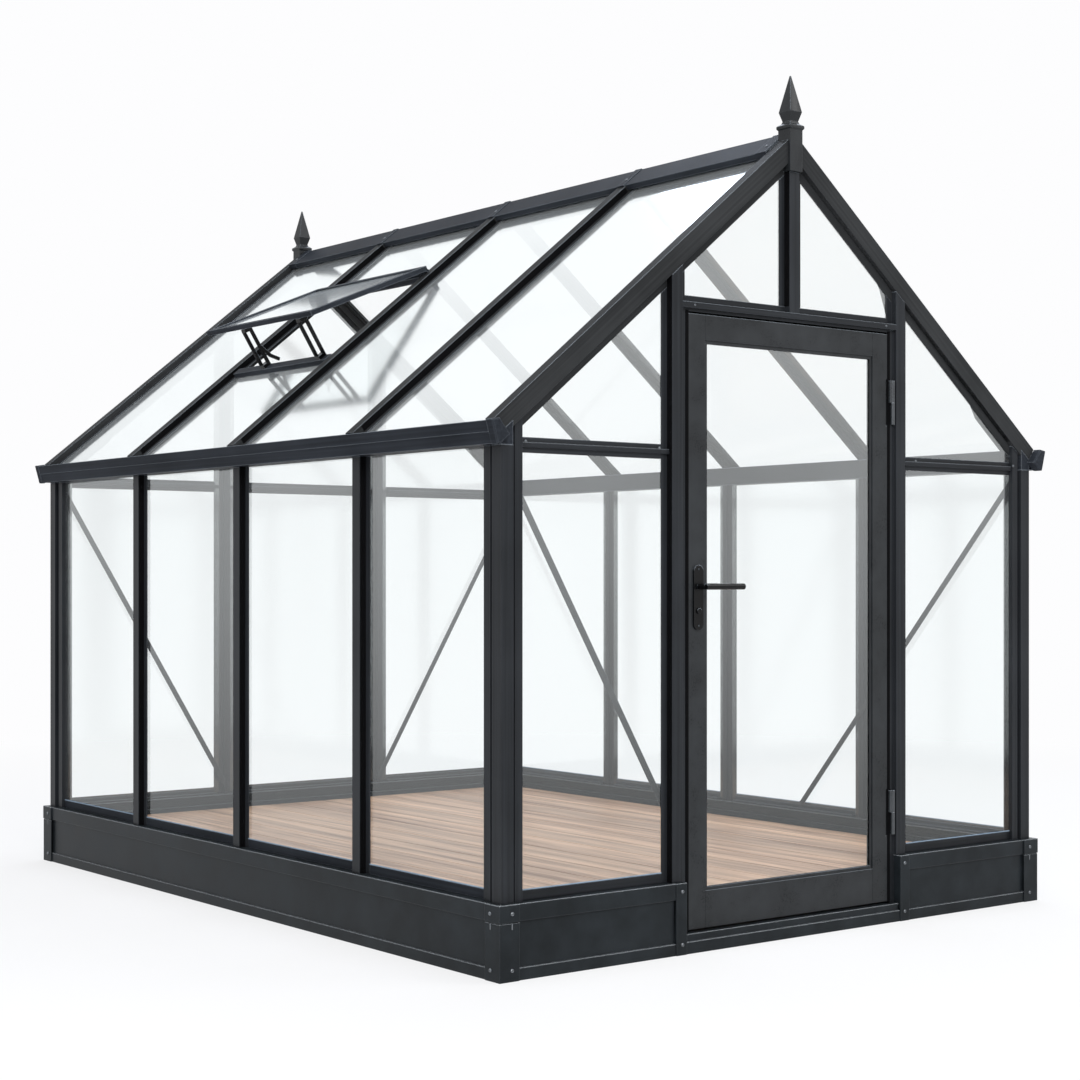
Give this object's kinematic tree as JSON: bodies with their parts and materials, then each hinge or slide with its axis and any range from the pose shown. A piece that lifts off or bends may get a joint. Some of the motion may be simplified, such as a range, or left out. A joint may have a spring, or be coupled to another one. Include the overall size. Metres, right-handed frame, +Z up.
{
  "type": "glass greenhouse",
  "caption": "Walk-in glass greenhouse: coated aluminium bars on a sheet plinth, gabled roof with an open vent, gutters, finials, board floor and a hinged glazed door.",
  "frame": {"origin": "on the ground under the middle of the plinth, at the floor joists' underside", "axes": "+Z up, +Y along the ridge towards the back gable, +X to the right seen from the door"},
  "size_m": [2.286, 2.938, 2.575],
  "materials": {
    "deck": "planed softwood",
    "frame_coat": "satin powder coat",
    "hardware": "black satin",
    "joist_timber": "sawn softwood",
    "pane": "clear float glass",
    "plinth_coat": "satin powder coat",
    "steel": "zinc plated"
  },
  "bodies": {
    "frame": {"back_bars": "frame_coat", "braces": "frame_coat", "corner_posts": "frame_coat", "finials": "frame_coat", "floor_boards": "deck", "floor_joists": "joist_timber", "front_apex_bar": "frame_coat", "front_header": "frame_coat", "front_jambs": "frame_coat", "gable_rafters": "frame_coat", "gable_sills": "frame_coat", "gable_transoms": "frame_coat", "glass_back": "pane", "glass_front": "pane", "glass_left": "pane", "glass_right": "pane", "gutter_end_caps": "frame_coat", "gutter_left": "frame_coat", "gutter_right": "frame_coat", "hinge_frame_leaves": "frame_coat", "hinge_pins": "steel", "plinth_back": "plinth_coat", "plinth_corners": "plinth_coat", "plinth_door_posts": "plinth_coat", "plinth_front": "plinth_coat", "plinth_left": "plinth_coat", "plinth_right": "plinth_coat", "ridge_beam": "frame_coat", "ridge_cap": "frame_coat", "roof_bars_left": "frame_coat", "roof_bars_right": "frame_coat", "roof_glass_left": "pane", "roof_glass_right": "pane", "side_bars": "frame_coat", "side_sills": "frame_coat", "threshold": "plinth_coat", "vent_curb": "frame_coat", "vent_glass": "pane", "vent_openers": "hardware", "vent_sash": "frame_coat"},
    "door": {"door_frame": "frame_coat", "door_glass": "pane", "hinge_door_leaves": "frame_coat", "handle_plates": "hardware"},
    "handle": {"handle_levers": "hardware"}
  },
  "joints": [
    {"name": "door_swing", "type": "hinge", "parent": "frame", "child": "door", "pos_m": [0.434, -1.428, 0.95], "axis": [0, 0, 1], "range_deg": [0, 110]},
    {"name": "handle_turn", "type": "hinge", "parent": "door", "child": "handle", "pos_m": [-0.3815, -1.411, 1.047], "axis": [0, 1, 0], "range_deg": [0, 45], "stiffness_Nm_per_rad": 1.5, "springref_deg": -45.84}
  ]
}
